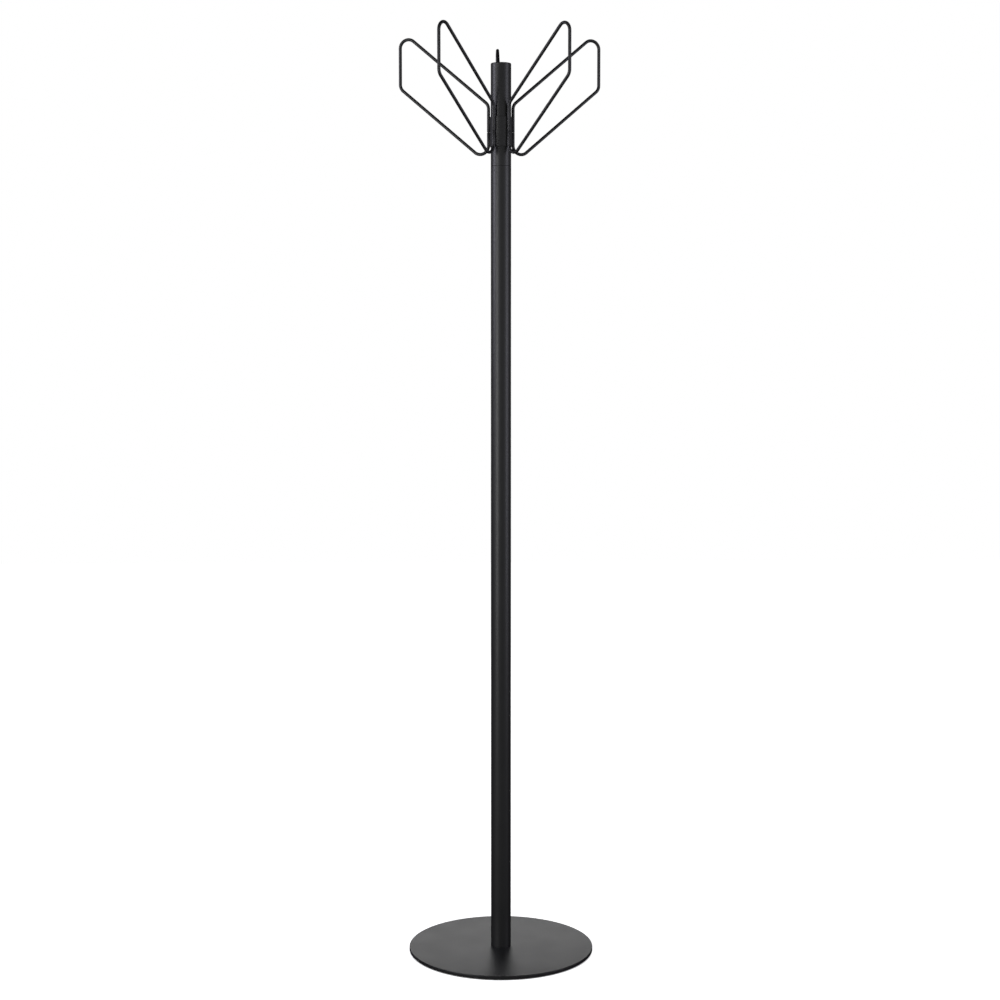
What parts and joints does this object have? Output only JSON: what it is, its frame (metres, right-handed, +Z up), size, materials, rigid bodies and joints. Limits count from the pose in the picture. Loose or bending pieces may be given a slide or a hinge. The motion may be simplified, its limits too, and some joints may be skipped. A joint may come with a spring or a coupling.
{
  "type": "standing coat rack",
  "caption": "Slim standing coat rack with a round plate base, a two-piece tube post and slanted closed loops of bent rod round a collar near the top.",
  "frame": {"origin": "on the floor, on the centre line of the post and the base plate", "axes": "+Z up along the post, +Y out along the back loop, +X to the right of a person who stands in front and looks along +Y"},
  "size_m": [0.3806, 0.375, 1.73],
  "materials": {
    "black_powder_coat": "matte black powder coat with a fine, even grain",
    "zinc_plated_steel": "bright zinc plate on turned steel",
    "dark_rubber": "matte rubber"
  },
  "bodies": {
    "rack": {"base_plate": "black_powder_coat", "floor_pads": "dark_rubber", "base_screw": "zinc_plated_steel", "foot_insert": "zinc_plated_steel", "main_post": "black_powder_coat", "post_top_insert": "zinc_plated_steel", "coupling_stud": "zinc_plated_steel", "head_insert": "zinc_plated_steel", "head_tube": "black_powder_coat", "top_cap": "black_powder_coat", "hook_collar": "black_powder_coat", "loop_back": "black_powder_coat", "loop_left": "black_powder_coat", "loop_front_left": "black_powder_coat", "loop_front_right": "black_powder_coat", "loop_right": "black_powder_coat"}
  },
  "joints": []
}
